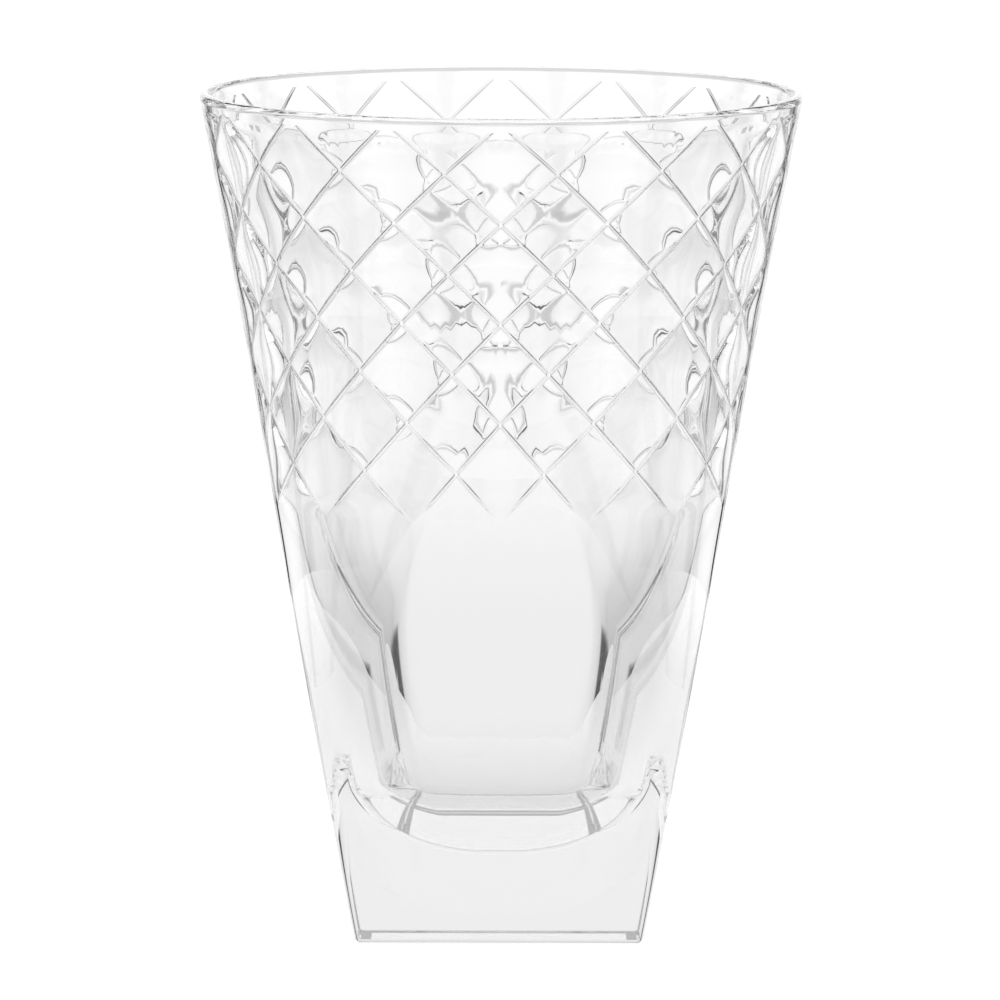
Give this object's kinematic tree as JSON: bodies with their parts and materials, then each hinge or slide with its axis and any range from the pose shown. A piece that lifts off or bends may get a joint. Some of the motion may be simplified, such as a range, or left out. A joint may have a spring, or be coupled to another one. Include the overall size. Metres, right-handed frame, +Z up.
{
  "type": "vase",
  "caption": "Clear pressed-glass vase: thick square foot, walls flaring to a round mouth, a bowl-bottomed well and a diamond lattice round the well's upper part.",
  "frame": {"origin": "centre of the foot's flat underside, where the vase stands", "axes": "+Z up along the vase's axis to the mouth; +X and +Y square to the foot's flats"},
  "size_m": [0.1797, 0.1796, 0.25],
  "materials": {
    "foot_glass": "polished, thick clear glass",
    "wall_glass": "polished clear glass",
    "cut_glass": "clear glass with a raised lozenge lattice inside",
    "lip_glass": "fire-polished clear glass"
  },
  "bodies": {
    "root": {"foot_block": "foot_glass", "lower_wall": "wall_glass", "diamond_band": "cut_glass", "rim_lip": "lip_glass"}
  },
  "joints": []
}
